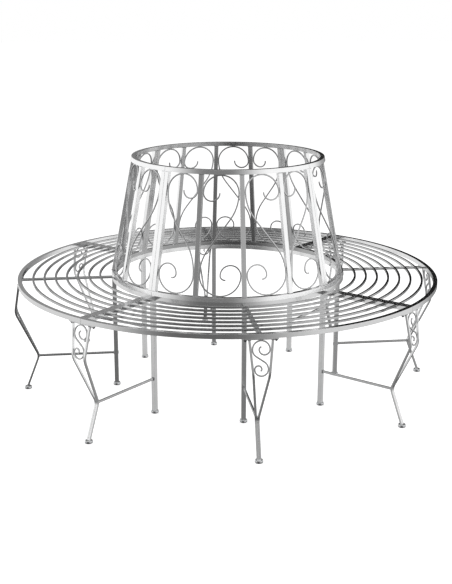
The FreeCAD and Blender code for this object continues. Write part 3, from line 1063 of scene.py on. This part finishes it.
@dataclass
class Back(Assembly):
    """The tapering back: two rings, leaning posts and their scrolls."""

    bays: int = 4
    scroll_outset: float = 0.005
    neck_angle: float = 36.0
    top_eye: float = 0.46
    foot_eye: float = 0.5
    foot_curl: float = 0.22
    foot_curl_turn: float = 100.0
    weld: float = 0.002
    joint_weld_relief: float = 0.0008

    @property
    def bay_angle(self) -> float:
        """Angle of a bay, in degrees."""
        return self.stock.panel_angle / self.bays

    @property
    def rise(self) -> float:
        """Height of the posts."""
        return self.stock.post_top - self.stock.post_bottom

    @property
    def lean(self) -> float:
        """How far a post leans in towards the trunk."""
        return self.stock.back_foot_radius - self.stock.back_top_radius

    def build(self) -> None:
        """Fits the rings, posts, scrolls and welds of the back."""
        stock, finishes = self.stock, self.finishes
        slope = self.lean / self.rise
        for side, outer, low in (
            ("lower", stock.back_foot_radius, stock.seat_height),
            ("upper", stock.back_top_radius, stock.post_top),
        ):
            piece = Piece(side + "_back_ring_tubes", finishes.tube, Slot.TUBE, "back_" + side + "_ring")
            self.fit_bars(piece, stock.tube_ring(outer, low, slope))
        for index, panel in enumerate(PANEL_NAMES):
            piece = Piece("leaning_posts_" + panel, finishes.tube, Slot.TUBE, "back_posts_" + panel)
            self.fit_copies(piece, self._posts, 1, stock.panel_middle(index))
            piece = Piece("scrollwork_" + panel, finishes.wire, Slot.WIRE, "back_scrolls_" + panel)
            first = index * self.bays
            wires = [self._scroll(first + bay) for bay in range(self.bays)]
            self.fit_wires(piece, wires, self._bay_middle(first), self.bay_angle, slope)
        self.fit_copies(Piece("post_welds", finishes.weld, Slot.TUBE), self._post_welds, stock.panels)

    def _post_places(self) -> list[tuple[float, float]]:
        """Angle and sideways place of each post, from the middle of a panel."""
        end_across = self.stock.joint_middle
        half = self.stock.panel_angle / 2
        between = [(-half + self.bay_angle * index, 0.0) for index in range(1, self.bays)]
        return [(-half, end_across)] + between + [(half, -end_across)]

    def _posts(self, mesh: BMesh) -> None:
        """Adds the posts of one panel.

        Args:
            mesh: Mesh that gets the posts.
        """
        stock = self.stock
        outline = rounded_rectangle(stock.tube, stock.tube, stock.tube_corner)
        for angle, across in self._post_places():
            sections = []
            for part in (0.0, 1.0):
                radius = stock.back_foot_radius - stock.tube / 2 - self.lean * part
                z = stock.post_bottom + self.rise * part
                sections.append([polar(radius + x, angle, z, across + y) for x, y in outline])
            loft(mesh, sections)

    def _post_welds(self, mesh: BMesh) -> None:
        """Adds the welds round both ends of the posts of one panel.

        Args:
            mesh: Mesh that gets the welds.
        """
        stock = self.stock
        for angle, across in self._post_places():
            relief = self.joint_weld_relief if across else 0.0
            size = stock.tube - relief
            for radius, z, up in (
                (stock.back_foot_radius, stock.post_bottom, UP),
                (stock.back_top_radius, stock.post_top, -UP),
            ):
                place = axes(polar(radius - stock.tube / 2, angle, z, across), polar(1.0, angle), up)
                weld_collar(mesh, size, size, self.weld - relief, place)

    def _bay_middle(self, bay: int) -> float:
        """Angle of the middle of a bay, in degrees."""
        return FIRST_ANGLE - self.stock.panel_angle / 2 + self.bay_angle * (bay + 0.5)

    def _scroll(self, bay: int) -> list[Vector]:
        """Centre line of the S-scroll in a bay.

        Args:
            bay: Number of the bay round the whole back.

        Returns:
            Points along the wire.
        """
        stock = self.stock
        angle = self._bay_middle(bay)
        hand = 1.0 if bay % 2 == 0 else -1.0
        half_bay = math.radians(self.bay_angle / 2)
        lean = self.lean * math.cos(half_bay) / self.rise
        slant = math.hypot(1.0, lean)
        radius = (stock.back_foot_radius - stock.tube / 2) * math.cos(half_bay) + self.scroll_outset
        narrowing = lean * math.tan(half_bay) / slant
        room = stock.wire / 2 * (1 + lean) + stock.clearance
        side_room = stock.wire / 2 * (1 + math.tan(half_bay)) + stock.clearance

        def half_width(at_joint: bool) -> float:
            """Room between the bay's middle and the post on one side."""
            post_side = stock.joint_side if at_joint else stock.tube / 2
            return radius * math.tan(half_bay) - post_side / math.cos(half_bay) - side_room

        left = half_width(bay % self.bays == 0)
        right = half_width(bay % self.bays == self.bays - 1)
        middle = (right - left) / 2
        width = (left + right) / 2
        height = self.rise * slant
        foot_loop = (width - narrowing * room) / (1 + narrowing)
        top_loop = (width - narrowing * (height - room)) / (1 - narrowing)
        top = Loop(top_loop, self.top_eye, 0.0, 0.0)
        foot = Loop(foot_loop, self.foot_eye, self.foot_curl, self.foot_curl_turn)
        placed = []
        for x, y in s_scroll(height - 2 * room, self.neck_angle, top, foot):
            along = y + room
            z = stock.post_bottom + along / slant
            placed.append(polar(radius - along * lean / slant, angle, z, middle + hand * x))
        return placed


@dataclass
class Legs(Assembly):
    """Eight leg frames: two bent rods outside, a tube inside, a stretcher.

    Each scroll's tuple has the eye and the curl as parts of its loop, and the
    curl's turn in degrees.
    """

    rod: float = 0.0075
    rod_corner: float = 0.0004
    top_inset: float = 0.004
    top_spread: float = 0.038
    bend_outset: float = 0.0155
    bend_drop: float = 0.135
    bend_spread: float = 0.0265
    bend_curve: float = 0.06
    knee_inset: float = 0.0655
    knee_height: float = 0.134
    knee_curve: float = 0.034
    foot_inset: float = 0.018
    curve_steps: int = 7
    stretcher: float = 0.008
    stretcher_corner: float = 0.0014
    scroll_overlap: float = 0.004
    scroll_neck_angle: float = 55.0
    scroll_top: Triple = (0.62, 0.3, 80.0)
    scroll_foot: Triple = (0.52, 0.25, 80.0)
    plate_half_length: float = 0.057
    plate_corner: float = 0.0009
    plate_points: int = 13
    weld: float = 0.0018
    # The weld at the inner leg is made bigger so that its dark coat paints the shade where the stretcher
    # meets the leg.
    inner_weld: float = 0.0028

    @property
    def foot_radius(self) -> float:
        """Distance of an outer foot from the trunk axis."""
        return self.stock.seat_radius - self.foot_inset

    @property
    def bend_height(self) -> float:
        """Height of the upper bend of the outer rods."""
        return self.stock.seat_height - self.bend_drop

    @property
    def scroll_lean(self) -> float:
        """How far the space between the rods leans inwards for each metre of rise."""
        return (self.bend_outset + self.top_inset) / (self.stock.plate_bottom - self.bend_height)

    def build(self) -> None:
        """Fits the rods, tubes, plates, stretchers and scrolls of the legs."""
        stock, finishes = self.stock, self.finishes
        for index in range(stock.legs):
            number = str(index + 1)
            for name, slot, node, build in (
                ("outer_leg_rods_", Slot.ROD, "outer_leg_", self._outer_rods),
                ("inner_leg_tube_", Slot.TUBE, "inner_leg_", self._inner_tube),
            ):
                piece = Piece(name + number, finishes.leg, slot, node + number)
                self.fit_copies(piece, build, 1, stock.leg_middle(index))
        piece = Piece("stretcher_bars", finishes.rod, Slot.ROD, "stretchers")
        self.fit_copies(piece, self._stretcher, stock.legs)
        half_angle = math.asin(self.plate_half_length / stock.seat_radius)
        self.fit_bars(Piece("curved_leg_plates", finishes.leg, Slot.ROD, "leg_plates"), BentBar(
            stock.seat_radius - stock.tube / 2, stock.tube, stock.plate, stock.plate_bottom,
            self.plate_corner, half_angle, stock.legs, points=self.plate_points))
        wires = [self._scroll(stock.leg_middle(index)) for index in range(stock.legs)]
        piece = Piece("leg_scrollwork", finishes.wire, Slot.WIRE, "leg_scrolls")
        self.fit_wires(piece, wires, FIRST_ANGLE, stock.leg_angle, self.scroll_lean)
        self.fit_copies(Piece("leg_welds", finishes.weld, Slot.ROD), self._welds, stock.legs)

    def _corner_points(self, side: float) -> list[Vector]:
        """Corners of a rod's path: plate, bend, knee and foot.

        Args:
            side: Which rod, -1 or 1.

        Returns:
            Points with radius, sideways place and height.
        """
        stock = self.stock
        foot_spread = (self.rod + stock.clearance) / 2
        return [
            Vector((stock.seat_radius - self.top_inset, side * self.top_spread, stock.plate_bottom)),
            Vector((stock.seat_radius + self.bend_outset, side * self.bend_spread, self.bend_height)),
            Vector((stock.seat_radius - self.knee_inset, side * foot_spread, self.knee_height)),
            Vector((self.foot_radius, side * foot_spread, stock.foot_height)),
        ]

    def _path(self, side: float) -> list[Vector]:
        """Centre line of a rod with its two bends.

        Args:
            side: Which rod, -1 or 1.

        Returns:
            Points with radius, sideways place and height.
        """
        top, elbow, knee, foot = self._corner_points(side)
        upper = self._bend(top, elbow, knee, self.bend_curve)
        return [top] + upper + self._bend(elbow, knee, foot, self.knee_curve) + [foot]

    def _bend(self, before: Vector, corner: Vector, after: Vector, radius: float) -> list[Vector]:
        """Arc that rounds the corner between two straight runs.

        Args:
            before: A point before the corner.
            corner: The corner.
            after: A point after it.
            radius: Radius of the arc.

        Returns:
            Points along the arc.
        """
        back = (before - corner).normalized()
        ahead = (after - corner).normalized()
        opening = back.angle(ahead)
        run = radius / math.tan(opening / 2)
        centre = corner + (back + ahead).normalized() * (radius / math.sin(opening / 2))
        start = corner + back * run - centre
        end = corner + ahead * run - centre
        sweep = math.pi - opening
        points = []
        for index in range(self.curve_steps + 1):
            part = index / self.curve_steps
            weight_start = math.sin((1 - part) * sweep) / math.sin(sweep)
            weight_end = math.sin(part * sweep) / math.sin(sweep)
            points.append(centre + start * weight_start + end * weight_end)
        return points

    def _outer_rods(self, mesh: BMesh) -> None:
        """Adds the two bent rods of an outer leg.

        Args:
            mesh: Mesh that gets the rods.
        """
        outline = rounded_rectangle(self.rod, self.rod, self.rod_corner)
        for side in SIDES:
            loft(mesh, [[point + Vector((x, y, 0.0)) for x, y in outline] for point in self._path(side)])

    def _inner_tube(self, mesh: BMesh) -> None:
        """Adds the upright tube of an inner leg.

        Args:
            mesh: Mesh that gets the tube.
        """
        stock = self.stock
        outline = rounded_rectangle(stock.tube, stock.tube, stock.tube_corner)
        middle = stock.back_foot_radius - stock.tube / 2
        ends = (stock.foot_height, stock.frame_bottom)
        loft(mesh, [[Vector((middle + x, y, z)) for x, y in outline] for z in ends])

    def _stretcher_end(self) -> float:
        """Radius at which the stretcher meets the knee."""
        return min(point.x for point in self._path(1.0)) - self.rod / 2

    def _stretcher(self, mesh: BMesh) -> None:
        """Adds the level bar between the knee and the inner leg.

        Args:
            mesh: Mesh that gets the bar.
        """
        outline = rounded_rectangle(self.stretcher, self.stretcher, self.stretcher_corner)
        reach = (self.stock.back_foot_radius, self._stretcher_end())
        loft(mesh, [[Vector((radius, x, self.knee_height + y)) for x, y in outline] for radius in reach])

    def _welds(self, mesh: BMesh) -> None:
        """Adds the welds of one leg frame.

        Args:
            mesh: Mesh that gets the welds.
        """
        stock = self.stock
        radius = stock.back_foot_radius
        for size, bead, place, across, along in (
            (self.stretcher, self.inner_weld, Vector((radius, 0.0, self.knee_height)), LEVEL, OUT),
            (self.stretcher, self.weld, Vector((self._stretcher_end(), 0.0, self.knee_height)), LEVEL, -OUT),
            (self.rod, self.weld, self._corner_points(-1.0)[0], OUT, -UP),
            (self.rod, self.weld, self._corner_points(1.0)[0], OUT, -UP),
            (stock.tube, self.weld, Vector((radius - stock.tube / 2, 0.0, stock.frame_bottom)), OUT, -UP),
        ):
            weld_collar(mesh, size, size, bead, axes(place, across, along))

    def _scroll(self, angle: float) -> list[Vector]:
        """Centre line of the S-scroll of a leg.

        Args:
            angle: Angle of the leg frame, in degrees.

        Returns:
            Points along the wire.
        """
        stock = self.stock
        bend_radius = stock.seat_radius + self.bend_outset
        drop = stock.plate_bottom - self.bend_height
        lean = self.scroll_lean
        slant = math.hypot(1.0, lean)
        narrowing = (self.top_spread - self.bend_spread) / drop / slant
        room = stock.wire / 2 * (1 + lean) + stock.clearance
        low = -self.scroll_overlap * slant
        high = drop * slant
        half_width = self.bend_spread - self.rod / 2 - stock.wire / 2 - stock.clearance
        foot_loop = (half_width + narrowing * (low + room)) / (1 - narrowing)
        top_loop = (half_width + narrowing * (high - room)) / (1 + narrowing)
        top = Loop(top_loop, *self.scroll_top)
        foot = Loop(foot_loop, *self.scroll_foot)
        placed = []
        for x, y in s_scroll(high - low - 2 * room, self.scroll_neck_angle, top, foot):
            along = low + room + y
            z = self.bend_height + along / slant
            placed.append(polar(bend_radius - along * lean / slant, angle, z, x))
        return placed


@dataclass
class Fittings(Assembly):
    """Glide feet and bolt heads.

    A profile has parts of the full radius and of the full height.
    """

    legs: Legs
    foot_radius: float = 0.014
    foot_sides: int = 32
    foot_profile: tuple[Point2, ...] = (
        (0.8, 0.0), (0.9, 0.05), (0.97, 0.14), (1.0, 0.28), (1.0, 0.62),
        (0.985, 0.74), (0.94, 0.85), (0.86, 0.94), (0.75, 0.99), (0.6, 1.0),
    )
    bolt_flats: float = 0.01
    bolt_height: float = 0.005
    bolt_shoulder: Point2 = (0.84, 0.86)
    stretcher_bolt_height: float = 0.0024
    stretcher_bolt_shoulder: Point2 = (0.86, 0.75)
    bolt_shank: float = 0.006
    bolt_end: float = 0.003
    shank_bevel: float = 0.3
    shank_tip: float = 0.7
    shank_sides: int = 12
    washer_radius: float = 0.0068
    washer_height: float = 0.0009
    washer_shoulder: Point2 = (0.93, 0.7)
    washer_sides: int = 20
    plate_bolt_spread: float = 0.05

    @property
    def bolt_corner(self) -> float:
        """Distance of a bolt head's corners from its middle."""
        return self.bolt_flats / math.sqrt(3)

    def build(self) -> None:
        """Fits the feet and the bolt heads."""
        stock, finishes = self.stock, self.finishes
        for side, radius in (
            ("outer", self.legs.foot_radius),
            ("inner", stock.back_foot_radius - stock.tube / 2),
        ):
            piece = Piece(side + "_glides", finishes.glide, Slot.GLIDE, side + "_feet")
            self.fit_copies(piece, lambda mesh, at=radius: self._foot(mesh, at), stock.legs)
        piece = Piece("plate_bolt_heads", finishes.bolt, Slot.BOLT, "plate_bolts")
        self.fit_copies(piece, self._plate_bolts, stock.legs)
        piece = Piece("stretcher_bolt_heads", finishes.leg, Slot.BOLT, "stretcher_bolts")
        self.fit_copies(piece, self._stretcher_bolt, stock.legs)

    def _foot(self, mesh: BMesh, radius: float) -> None:
        """Adds a glide foot at a distance from the trunk axis."""
        profile = [(self.foot_radius * out, self.stock.foot_height * up) for out, up in self.foot_profile]
        turned(mesh, profile, self.foot_sides, Matrix.Translation((radius, 0.0, 0.0)))

    @staticmethod
    def _disc(mesh: BMesh, radius: float, low: float, high: float, shoulder: Point2, sides: int,
              place: Matrix) -> None:
        """Adds a flat turned body whose upper edge is bevelled.

        Args:
            mesh: Mesh that gets the body.
            radius: Its radius.
            low: Height of its foot.
            high: Height of its top.
            shoulder: Part of the radius that the top has, and part of the height where the bevel starts.
            sides: Faces round the axis.
            place: Where the body stands, with its axis along its own Z.
        """
        top, start = shoulder
        turned(mesh, [(radius, low), (radius, high * start), (radius * top, high)], sides, place)

    def _hex_head(self, mesh: BMesh, place: Matrix) -> None:
        """Adds a hexagon bolt head on its washer, with the bolt's threaded end.

        Args:
            mesh: Mesh that gets the head.
            place: Middle of its seat, with the bolt's axis along its own Z.
        """
        low, high = self.washer_height, self.bolt_height
        self._disc(mesh, self.washer_radius, 0.0, low, self.washer_shoulder, self.washer_sides, place)
        self._disc(mesh, self.bolt_corner, low, high, self.bolt_shoulder, HEXAGON, place)
        shank = self.bolt_shank / 2
        end = high + self.bolt_end
        profile = [(shank, high), (shank, end - shank * self.shank_bevel), (shank * self.shank_tip, end)]
        turned(mesh, profile, self.shank_sides, place)

    def _plate_bolts(self, mesh: BMesh) -> None:
        """Adds the two bolts of a leg plate.

        Args:
            mesh: Mesh that gets the bolts.
        """
        stock = self.stock
        radius = stock.seat_radius - stock.tube / 2
        reach = math.degrees(math.asin(self.plate_bolt_spread / radius))
        for side in SIDES:
            centre = polar(radius, side * reach, stock.plate_bottom)
            self._hex_head(mesh, axes(centre, polar(1.0, side * reach), -UP))

    def _stretcher_bolt(self, mesh: BMesh) -> None:
        """Adds the low bolt head on the trunk side of an inner leg.

        Args:
            mesh: Mesh that gets the head.
        """
        centre = Vector((self.stock.back_foot_radius - self.stock.tube, 0.0, self.legs.knee_height))
        self._disc(mesh, self.bolt_corner, 0.0, self.stretcher_bolt_height, self.stretcher_bolt_shoulder,
                   HEXAGON, axes(centre, LEVEL, -OUT))


@dataclass(frozen=True)
class Flag:
    """A dark or grey panel of the studio that the bare metal mirrors.

    Angles are in degrees, as seen from the bench. Tone is the share of the
    studio's light that the panel sends back.
    """

    middle: float
    half_width: float
    side_edge: float
    low: float
    high: float
    level_edge: float
    tone: float


@dataclass
class Studio:
    """Floor, light and camera.

    A band of the sky has two elevations in degrees, and the tone up to the
    first and from the second.
    """

    camera_place: Triple = (-0.5315, -3.916, 1.482)
    camera_pitch: float = 15.814
    camera_turn: float = -7.73
    camera_roll: float = 0.193
    focal_length: float = 83.85
    sensor_width: float = 36.0
    shift_x: float = -0.00334
    floor_size: float = 60.0
    floor_colour: tuple[float, ...] = (0.9, 0.9, 0.9, 1.0)
    floor_glow: float = 0.5
    lamp_place: Triple = (-0.6, -0.6, 4.5)
    lamp_size: float = 4.0
    lamp_power: float = 90.0
    world_for_object: float = 0.6
    ground: Band = (-18.0, -8.0, 0.66, 1.0)
    underfoot: Band = (-36.0, -15.0, 0.42, 1.0)
    overhead: Band = (20.0, 42.0, 1.0, 0.25)
    canopy: Band = (48.0, 60.0, 0.0, 1.0)
    flags: tuple[Flag, ...] = (
        Flag(-110.5, 12.0, 54.0, -80.0, 14.0, 30.0, 0.19),
        Flag(84.5, 12.5, 5.0, 0.0, 50.0, 12.0, 0.28),
        Flag(73.0, 5.0, 9.0, -80.0, 50.0, 10.0, 0.15),
        Flag(56.0, 6.0, 36.0, -80.0, 50.0, 10.0, 0.35),
        Flag(84.0, 4.0, 22.0, -80.0, -14.0, 5.0, 0.45),
        Flag(82.8, 2.6, 3.0, 4.0, 28.0, 6.0, 0.5),
        Flag(71.5, 4.0, 1.5, 10.0, 24.0, 4.0, 0.42),
    )

    def build(self) -> None:
        """Sets up everything round the bench."""
        self._camera()
        self._world()
        self._floor()
        self._lamp()
        bpy.context.scene.view_settings.view_transform = "Standard"

    def _camera(self) -> None:
        """Adds the camera at the photograph's viewing angle."""
        data = bpy.data.cameras.new("Camera")
        data.sensor_fit = "HORIZONTAL"
        data.sensor_width = self.sensor_width
        data.lens = self.focal_length
        data.shift_x = self.shift_x
        camera = place_object("Camera", data)
        turn = Matrix.Rotation(math.radians(self.camera_turn), 4, "Z")
        tilt = Matrix.Rotation(math.radians(90.0 - self.camera_pitch), 4, "X")
        roll = Matrix.Rotation(math.radians(self.camera_roll), 4, "Z")
        camera.matrix_world = Matrix.Translation(self.camera_place) @ turn @ tilt @ roll
        bpy.context.scene.camera = camera

    @staticmethod
    def _flag_group() -> Tree:
        """Share of the light that comes from a direction past one flag."""
        names = ["azimuth", "elevation"] + [field.name for field in fields(Flag)]
        sheet, result = new_tree("Studio flag", Effects.KIND, "Share", **dict.fromkeys(names, 0.0))
        away = sheet.maths("SUBTRACT", sheet["Azimuth"], sheet["Middle"])
        away = sheet.maths("ABSOLUTE", sheet.maths("WRAP", away, math.pi, -math.pi))

        def inside(value: Socket, limit: Socket, edge: str) -> Socket:
            """One up to a limit, and nought past its soft edge."""
            return sheet.ramp(value, limit, sheet.maths("ADD", limit, sheet[edge]), 1.0, 0.0, True)

        beside = inside(away, sheet["Half Width"], "Side Edge")
        below = inside(sheet["Elevation"], sheet["High"], "Level Edge")
        down, low = (sheet.maths("MULTIPLY", sheet[name], -1.0) for name in ("Elevation", "Low"))
        above = inside(down, low, "Level Edge")
        covered = sheet.maths("MULTIPLY", beside, sheet.maths("MULTIPLY", below, above))
        loss = sheet.maths("MULTIPLY", covered, sheet.maths("SUBTRACT", 1.0, sheet["Tone"]))
        sheet.feed(result, sheet.maths("SUBTRACT", 1.0, loss))
        return sheet.tree

    def _world(self) -> None:
        """White surroundings to look at, grey flags in reflections, plain light."""
        world = bpy.data.worlds.new("World")
        world.use_nodes = True
        bpy.context.scene.world = world
        world.cycles.sampling_method = "NONE"
        world.node_tree.nodes.clear()
        sheet = NodeSheet(world.node_tree)
        place = sheet.add("ShaderNodeTexCoord").outputs["Generated"]
        way = sheet.add("ShaderNodeSeparateXYZ", {0: place}).outputs
        azimuth = sheet.maths("ARCTAN2", way[1], way[0])
        elevation = sheet.maths("ARCSINE", way[2])

        def tone(band: Band) -> Socket:
            """Tone of a band of the sky."""
            start, end, first, last = band
            return sheet.ramp(elevation, math.radians(start), math.radians(end), first, last, True)

        above = sheet.maths("MAXIMUM", tone(self.overhead), tone(self.canopy))
        under = sheet.maths("MULTIPLY", tone(self.underfoot), above)
        light = sheet.maths("MULTIPLY", tone(self.ground), under)
        group = self._flag_group()
        for flag in self.flags:
            # All of a flag's fields but its tone are angles.
            values = {name: math.radians(angle) for name, angle in asdict(flag).items()}
            values |= {"tone": flag.tone, "azimuth": azimuth, "elevation": elevation}
            share = sheet.out("ShaderNodeGroup", by_socket(values), node_tree=group)
            light = sheet.maths("MULTIPLY", light, share)
        rays = sheet.add("ShaderNodeLightPath").outputs
        strength = sheet.mix(rays["Is Glossy Ray"], self.world_for_object, light)
        seen = sheet.maths("MAXIMUM", rays["Is Camera Ray"], rays["Is Transmission Ray"])
        strength = sheet.mix(seen, strength, 1.0)
        sky = sheet.out("ShaderNodeBackground", {"Color": (1.0, 1.0, 1.0, 1.0), "Strength": strength})
        sheet.add("ShaderNodeOutputWorld", {"Surface": sky})

    def _floor(self) -> None:
        """Adds the pale floor that keeps the bench's shadow."""
        material = bpy.data.materials.new("pale_floor")
        material.use_nodes = True
        material.node_tree.nodes.clear()
        sheet = NodeSheet(material.node_tree)
        seen = sheet.add("ShaderNodeLightPath").outputs["Is Camera Ray"]
        matt = sheet.out("ShaderNodeBsdfDiffuse", {"Color": self.floor_colour})
        glow = sheet.out("ShaderNodeEmission", {"Strength": sheet.maths("MULTIPLY", seen, self.floor_glow)})
        both = sheet.out("ShaderNodeAddShader", {0: matt, 1: glow})
        sheet.add("ShaderNodeOutputMaterial", {"Surface": both})
        half = self.floor_size / 2
        corners = [(-half, -half, 0.0), (half, -half, 0.0), (half, half, 0.0), (-half, half, 0.0)]
        mesh = bpy.data.meshes.new("floor")
        mesh.from_pydata(corners, [], [(0, 1, 2, 3)])
        mesh.materials.append(material)
        floor = place_object("floor", mesh)
        floor.visible_glossy = False

    def _lamp(self) -> None:
        """Adds a large soft lamp over the bench."""
        data = bpy.data.lights.new("Soft lamp", "AREA")
        data.shape = "DISK"
        data.size = self.lamp_size
        data.energy = self.lamp_power
        lamp = place_object("Soft lamp", data)
        lamp.location = self.lamp_place
        lamp.visible_glossy = False


def main() -> None:
    """Builds the bench and its studio."""
    logging.basicConfig(level=logging.INFO, format="%(message)s")
    shared = (Stock(), Trees(), Finishes(), Fitter())
    legs = Legs(*shared)
    for assembly in (Seat(*shared), Back(*shared), legs, Fittings(*shared, legs)):
        assembly.build()
        log.info("%s done", type(assembly).__name__)
    Studio().build()
    log.info("%d pieces", legs.fitter.count)


if __name__ == "__main__":
    main()
